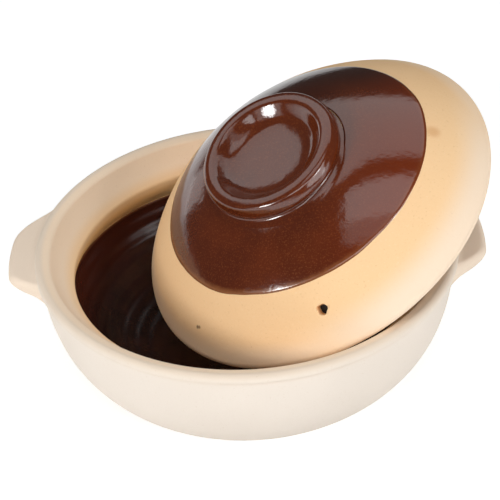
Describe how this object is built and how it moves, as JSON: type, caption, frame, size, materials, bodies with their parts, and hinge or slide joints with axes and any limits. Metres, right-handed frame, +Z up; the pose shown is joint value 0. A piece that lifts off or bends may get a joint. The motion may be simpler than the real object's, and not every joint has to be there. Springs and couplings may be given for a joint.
{
  "type": "lidded clay cooking pot",
  "caption": "Round clay cooking pot with lug handles and a brown-glazed inside, its domed, vented lid with a dished disc knob leaning in the mouth.",
  "frame": {"origin": "middle of the pot's flat base, on the turning axis of the bowl", "axes": "+X along the two lug handles towards the lug that the high side of the lid hangs over, +Z up out of the mouth, +Y away from the viewer of the picture"},
  "size_m": [0.2717, 0.2426, 0.1569],
  "materials": {
    "buff_clay": "matt unglazed",
    "lid_clay": "matt unglazed, finely sandy",
    "brown_glaze": "gloss glaze"
  },
  "bodies": {
    "pot": {"pot_body": "buff_clay", "left_lug": "buff_clay", "right_lug": "buff_clay", "pot_lining": "brown_glaze"},
    "lid": {"lid_body": "lid_clay", "lid_glaze": "brown_glaze", "lid_knob": "brown_glaze"}
  },
  "joints": [
    {"name": "lid_lift", "type": "slide", "parent": "pot", "child": "lid", "axis": [0, 0, 1], "range_m": [0, 0.12]}
  ]
}
